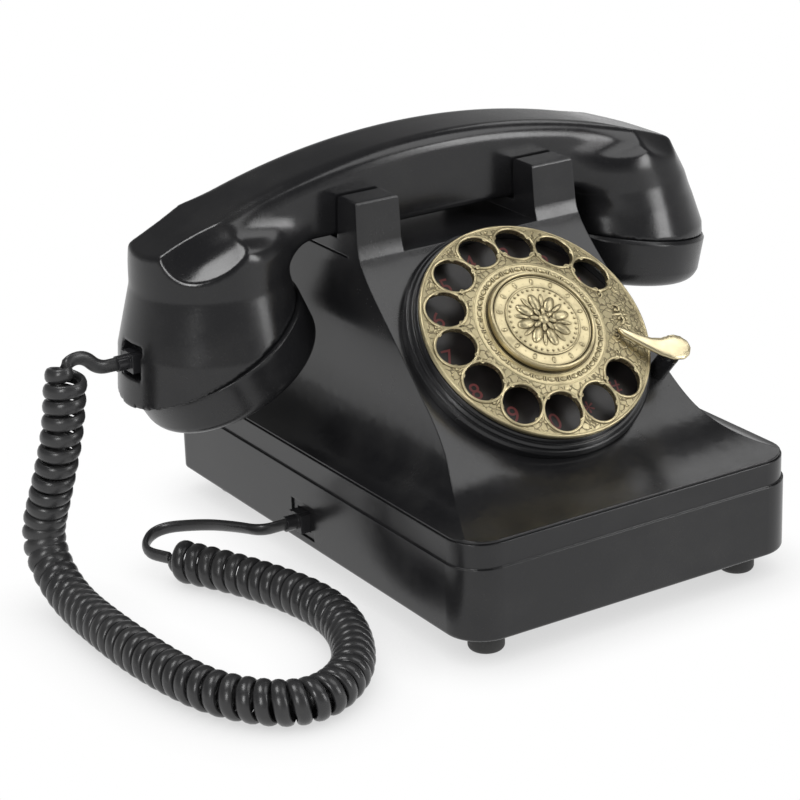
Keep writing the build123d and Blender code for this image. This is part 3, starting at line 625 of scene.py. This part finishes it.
def curly_cord():
    """The wound cord with its plain leads, its path in metres and its length."""
    at, line = resample(route_points(), 0.11)
    tangent = np.gradient(line, axis=0)
    tangent /= np.linalg.norm(tangent, axis=1)[:, None]
    first = np.array([0.0, 1.0, 0.0])
    normals = []
    for t in tangent:
        first = first - t * first.dot(t)
        first /= np.linalg.norm(first)
        normals.append(first.copy())
    normals = np.array(normals)
    second = np.cross(tangent, normals)
    top = at[np.argmin(np.linalg.norm(line - np.array(ROUTE[COIL_FROM]), axis=1))] + 1.0
    end = at[np.argmin(np.linalg.norm(line - np.array(ROUTE[COIL_TO]), axis=1))]
    ramp = np.clip((at - top) / 4.0, 0, 1) * np.clip((end - at) / 4.0, 0, 1)
    ramp = ramp * ramp * (3 - 2 * ramp)
    pitch = TURN_PITCH * (1 + 0.07 * np.sin(at / 23.0) + 0.05 * np.sin(at / 7.7 + 1.0))
    turning = np.where((at > top - 1) & (at < end + 1), 2 * math.pi / pitch, 0.0)
    phase = np.cumsum(turning) * (at[1] - at[0])
    wobble = 1 + 0.02 * np.sin(at / 11.0)
    radius = COIL_RADIUS * ramp * wobble
    radial = normals * np.cos(phase)[:, None] + second * np.sin(phase)[:, None]
    centre = line + radial * radius[:, None]
    centre[:, 2] = np.maximum(centre[:, 2], LOWEST)
    run, path = resample(centre, 0.95)
    keep = np.interp(run, np.concatenate(
        [[0], np.cumsum(np.linalg.norm(np.diff(centre, axis=0), axis=1))]), np.arange(len(at)))
    pick = np.clip(np.round(keep).astype(int), 0, len(at) - 1)
    heading = np.gradient(path, axis=0)
    heading /= np.linalg.norm(heading, axis=1)[:, None]
    out = radial[pick]
    out = out - heading * (out * heading).sum(1)[:, None]
    out /= np.linalg.norm(out, axis=1)[:, None]
    across = np.cross(heading, out)
    sides = 12
    verts = []
    faces = []
    for i in range(len(path)):
        for j in range(sides):
            b = 2 * math.pi * j / sides
            offset = (out[i] * math.cos(b) * CORD_THICK / 2
                      + across[i] * math.sin(b) * CORD_WIDE / 2)
            verts.append(path[i] + offset)
    for i in range(len(path) - 1):
        for j in range(sides):
            k = (j + 1) % sides
            faces.append((i * sides + j, (i + 1) * sides + j, (i + 1) * sides + k, i * sides + k))
    faces.append(tuple(range(sides)))
    faces.append(tuple(reversed(range((len(path) - 1) * sides, len(path) * sides))))
    obj = add_object("curly_cord", verts, faces)
    obj.data.materials.append(CORD)
    return obj, path * MM, float(run[-1]) * MM


cord, cord_path, cord_length = curly_cord()
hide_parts("handset_lead", "cord_coil", "base_lead")
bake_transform(cord)

# ------------------------------------------------------------------ dial relief
def wheel_height(r):
    """Top of the domed wheel at a radius, above the housing's face."""
    return float(np.interp(r, [23, 32, 39.75, 40.25], [12.7, 10.9, 9.3, 9.0]))


def relief_matrix(r, degrees, lift=0.0, turn=0.0):
    """Sits on the wheel's domed top at a bearing; its x points outwards."""
    a = math.radians(degrees)
    lean = math.radians(11.2) if r > 23 else 0.0
    return dial_matrix(r * math.cos(a), r * math.sin(a), wheel_height(r) + lift,
                       a + turn, lean)


wheel = Parts()
for i in range(HOLES):
    wheel.torus(relief_matrix(HOLE_PCR, HOLE_START + HOLE_PITCH * i, -0.05), 7.05, 0.5)
wheel.torus(dial_matrix(0, 0, 9.15), 39.75, 0.45, 160)
wheel.torus(dial_matrix(0, 0, 12.6), 22.9, 0.3, 128)
wheel.torus(dial_matrix(0, 0, 12.6), 19.1, 0.3, 128)
for i in range(30):
    a = 12 * i
    wheel.dome(relief_matrix(21.0, a, -0.1, math.pi / 2), 1.35, 0.85, 0.75, 16, 5)
    for side in (-1, 1):
        wheel.dome(relief_matrix(21.0, a + 6 + side * 1.0, -0.1), 1.0, 0.34, 0.6, 12, 4)
for i in range(14):
    middle = HOLE_START + HOLE_PITCH * (i - 0.5) - (8 if i == 13 else 0)
    for hand in (-1, 1):
        wheel.scroll(relief_matrix(36.2, middle + hand * 2.2, 0.0, hand * 0.5), 1.5, hand)
        wheel.scroll(relief_matrix(26.9, middle + hand * 2.2, 0.0, math.pi - hand * 0.4),
                     1.25, -hand, 0.26)
    wheel.dome(relief_matrix(34.3, middle, -0.1), 1.5, 0.5, 0.5, 14, 4)
    wheel.dome(relief_matrix(29.2, middle, -0.1), 1.3, 0.45, 0.45, 14, 4)
    wheel.dome(relief_matrix(38.1, middle, -0.1), 0.5, 0.5, 0.45, 12, 4)
PANEL = -5.5                # bearing of the plain stretch between the end holes
for hand in (-1, 1):
    wheel.scroll(relief_matrix(33.4, PANEL + hand * 4.4, 0.0, hand * 0.6), 2.5, hand, 0.42)
    wheel.scroll(relief_matrix(29.4, PANEL + hand * 4.4, 0.0, math.pi - hand * 0.6),
                 2.1, -hand, 0.38)
wheel.dome(relief_matrix(31.4, PANEL, -0.1), 3.6, 0.8, 0.7, 18, 5)
wheel.dome(relief_matrix(31.4, PANEL, -0.1, math.pi / 2), 2.2, 0.7, 0.7, 18, 5)
dress(wheel.finish("wheel_relief"), BRASS_PLAIN, "dial")

medal = Parts()
medal.torus(dial_matrix(0, 0, MEDAL_H - 0.1), 17.75, 0.55, 128)
medal.torus(dial_matrix(0, 0, MEDAL_H - 0.25), 12.7, 0.35, 96)
medal.torus(dial_matrix(0, 0, MEDAL_H - 0.55), 16.7, 0.22, 128)
for i in range(28):
    a = math.radians(360 / 28 * i)
    place = dial_matrix(14.75 * math.cos(a), 14.75 * math.sin(a), MEDAL_H - 0.85, a)
    if i % 2 == 0:
        medal.dome(place, 1.25, 0.75, 0.75, 16, 5)
    else:
        medal.scroll(place, 0.95, 1 if i % 4 == 1 else -1, 0.24)
for i in range(36):
    a = math.radians(10 * i)
    medal.dome(dial_matrix(11.5 * math.cos(a), 11.5 * math.sin(a), MEDAL_H - 0.1),
               0.42, 0.42, 0.42, 10, 4)
for i in range(8):
    a = math.radians(45 * i)
    medal.dome(dial_matrix(6.6 * math.cos(a), 6.6 * math.sin(a), MEDAL_H - 0.15, a),
               3.3, 1.75, 1.1, 24, 7)
    b = a + math.radians(22.5)
    medal.dome(dial_matrix(7.4 * math.cos(b), 7.4 * math.sin(b), MEDAL_H - 0.15, b),
               2.6, 0.8, 0.7, 18, 5)
    medal.dome(dial_matrix(3.0 * math.cos(b), 3.0 * math.sin(b), MEDAL_H + 0.05, b),
               1.7, 0.9, 1.0, 16, 5)
medal.dome(dial_matrix(0, 0, MEDAL_H), 2.0, 2.0, 1.6, 28, 8)
dress(medal.finish("medallion_relief"), BRASS_PLAIN, "dial")


def number_marks():
    """Characters printed on the plate under the finger holes."""
    verts = []
    faces = []
    for i, mark in enumerate("1234567890*#"):
        a = math.radians(HOLE_START + HOLE_PITCH * i)
        text = bpy.data.curves.new("mark", "FONT")
        text.body = mark
        text.size = 8.4 if mark != "*" else 10.0
        text.align_x = "CENTER"
        text.align_y = "CENTER"
        text.extrude = 0.03
        holder = bpy.data.objects.new("mark", text)
        bpy.context.scene.collection.objects.link(holder)
        bpy.context.view_layer.update()
        mesh = bpy.data.meshes.new_from_object(holder)
        bpy.data.objects.remove(holder)
        place = dial_matrix(HOLE_PCR * math.cos(a), HOLE_PCR * math.sin(a), 4.06)
        base = len(verts)
        verts += [place @ v.co for v in mesh.vertices]
        faces += [tuple(base + k for k in f.vertices) for f in mesh.polygons]
    return add_object("dial_numbers", verts, faces, smooth=False)


dress(number_marks(), INK, "base")


def stop_blade():
    """Finger stop: a curved blade that widens into a rounded pad."""
    line = [(25.6, -9.3, 0.5, 12.9), (27.0, -10.8, 1.35, 12.9), (30.5, -14.2, 1.75, 12.9),
            (34.0, -17.2, 2.4, 13.0), (37.5, -19.4, 3.6, 13.1), (40.5, -20.5, 4.7, 13.2),
            (43.4, -20.9, 4.8, 13.2), (45.8, -21.0, 3.7, 13.1), (47.2, -21.0, 1.8, 13.0)]
    steps = 40
    at = np.linspace(0, len(line) - 1, steps)
    cols = [np.interp(at, range(len(line)), [p[k] for p in line]) for k in range(4)]
    sides = 16
    verts = []
    faces = []
    for i in range(steps):
        j0, j1 = max(i - 1, 0), min(i + 1, steps - 1)
        along = Vector((cols[0][j1] - cols[0][j0], cols[1][j1] - cols[1][j0])).normalized()
        side = Vector((-along.y, along.x))
        for j in range(sides):
            b = 2 * math.pi * j / sides
            across = abs(math.cos(b)) ** 0.7 * (1 if math.cos(b) > 0 else -1) * cols[2][i]
            lift = abs(math.sin(b)) ** 0.8 * (1 if math.sin(b) > 0 else -1) * 0.85
            verts.append(on_dial(cols[0][i] + side.x * across, cols[1][i] + side.y * across,
                                 cols[3][i] + 0.85 + lift))
    for i in range(steps - 1):
        for j in range(sides):
            k = (j + 1) % sides
            faces.append((i * sides + j, i * sides + k, (i + 1) * sides + k, (i + 1) * sides + j))
    faces.append(tuple(reversed(range(sides))))
    faces.append(tuple(range((steps - 1) * sides, steps * sides)))
    return add_object("finger_stop_blade", verts, faces)


stop = stop_blade()
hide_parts("finger_stop")
dress(stop, PALE, "stop")

# ------------------------------------------------------------------ stage and light
floor = add_object("floor", [(-3000, -3000, 0), (3000, -3000, 0), (3000, 3000, 0),
                             (-3000, 3000, 0)], [(0, 1, 2, 3)], smooth=False)


def seen_directly(nodes, links, direct, indirect):
    """One colour for what the camera sees directly, another for light and reflections."""
    path = nodes.new("ShaderNodeLightPath").outputs["Is Camera Ray"]
    return add_mix(nodes, links, path, indirect, direct)


def add_grey(nodes, links, value):
    """Grey colour from one value."""
    grey = nodes.new("ShaderNodeCombineColor")
    for channel in ("Red", "Green", "Blue"):
        links.new(value, grey.inputs[channel])
    return grey.outputs[0]


# Painted shadow: the floor glows white to the camera, and ambient occlusion darkens that glow near
# the telephone, so the contact shadow is painted into the floor rather than cast.
stage_white_painted_shadow, nodes, links, shader = new_material("stage_white_painted_shadow")
nodes.remove(shader)
painted_contact_shadow = nodes.new("ShaderNodeAmbientOcclusion")
painted_contact_shadow.samples = 8
painted_contact_shadow.inputs["Distance"].default_value = 0.022
floor_grey_with_painted_shadow = add_ramp(nodes, links, painted_contact_shadow.outputs["AO"], 0.1, 0.62, 0.95, 1.0)
emit = nodes.new("ShaderNodeEmission")
links.new(seen_directly(nodes, links, add_grey(nodes, links, floor_grey_with_painted_shadow), (0.85, 0.85, 0.85)),
          emit.inputs["Color"])
links.new(emit.outputs[0], nodes["Material Output"].inputs["Surface"])
floor.data.materials.append(stage_white_painted_shadow)


def area_light(name, place, aim, size_x, size_y, power):
    light = bpy.data.lights.new(name, "AREA")
    light.shape = "RECTANGLE"
    light.size = size_x
    light.size_y = size_y
    light.energy = power
    lamp = bpy.data.objects.new(name, light)
    bpy.context.scene.collection.objects.link(lamp)
    lamp.location = place
    lamp.rotation_euler = (Vector(aim) - Vector(place)).to_track_quat("-Z", "Y").to_euler()


area_light("key_top", (-0.30, 0.15, 0.95), (0, 0, 0.08), 0.5, 0.3, 3.5)
area_light("front_left", (-1.0, -0.75, 0.70), (0, 0, 0.08), 0.35, 0.6, 7.0)
area_light("right_front", (0.75, -0.95, 0.45), (0, 0, 0.06), 0.3, 0.6, 4.5)
area_light("right_back", (0.9, 0.7, 0.8), (0, 0, 0.08), 0.4, 0.4, 0.6)
area_light("dial_card", (0.47, -0.30, 0.86), (0, -0.03, 0.08), 0.6, 0.6, 2.4)

world = bpy.data.worlds.new("world")
bpy.context.scene.world = world
world.use_nodes = True
nodes = world.node_tree.nodes
links = world.node_tree.links
background = nodes["Background"]
direction = nodes.new("ShaderNodeTexCoord").outputs["Generated"]
split = nodes.new("ShaderNodeSeparateXYZ")
links.new(direction, split.inputs[0])
rise = add_ramp(nodes, links, split.outputs["Z"], 0.04, 0.45, 0.36, 0.12)
links.new(seen_directly(nodes, links, (1.0, 1.0, 1.0), add_grey(nodes, links, rise)),
          background.inputs["Color"])

# ------------------------------------------------------------------ camera
AZ, EL, ROLL = math.radians(-31.904), math.radians(21.041), math.radians(-1.910)
back = Vector((math.sin(AZ) * math.cos(EL), -math.cos(AZ) * math.cos(EL), math.sin(EL)))
right = (-back).cross(Vector((0, 0, 1))).normalized()
upward = right.cross(-back)
cam_x = right * math.cos(ROLL) + upward * math.sin(ROLL)
cam_y = upward * math.cos(ROLL) - right * math.sin(ROLL)
camera_data = bpy.data.cameras.new("camera")
camera_data.lens = 121.61
camera_data.sensor_width = 36.0
camera_data.clip_start = 0.05
camera_data.clip_end = 20.0
camera = bpy.data.objects.new("camera", camera_data)
bpy.context.scene.collection.objects.link(camera)
camera.matrix_world = Matrix.Translation(
    Vector((-12.78, 26.49, 41.64)) * MM + back * 0.93275) @ Matrix(
    (cam_x, cam_y, back)).transposed().to_4x4()
bpy.context.scene.camera = camera
bpy.context.scene.view_settings.view_transform = "Standard"
